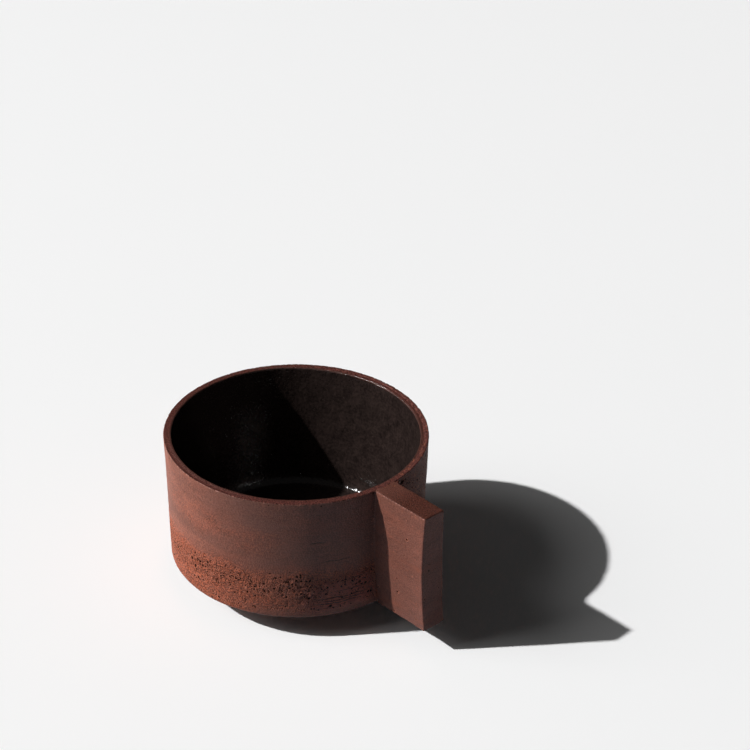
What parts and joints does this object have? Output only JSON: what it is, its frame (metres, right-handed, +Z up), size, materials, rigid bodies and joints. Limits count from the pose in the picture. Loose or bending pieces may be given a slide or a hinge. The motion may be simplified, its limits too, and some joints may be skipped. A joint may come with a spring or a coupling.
{
  "type": "cup",
  "caption": "Low round stoneware cup with an upright slab handle, a recessed foot ring and a dark glazed inside.",
  "frame": {"origin": "on the cup's axis, in the plane that the foot stands on", "axes": "+Z up along the cup's axis, +X towards the handle"},
  "size_m": [0.1184, 0.095, 0.058],
  "materials": {
    "clay": "unglazed, grogged red-brown stoneware",
    "slip": "fired slip, matte",
    "glaze": "dark brown gloss glaze"
  },
  "bodies": {
    "root": {"cup_body": "clay", "foot_ring": "clay", "foot_slip": "slip", "handle_slab": "clay", "handle_slip": "slip", "glaze_lining": "glaze"}
  },
  "joints": []
}
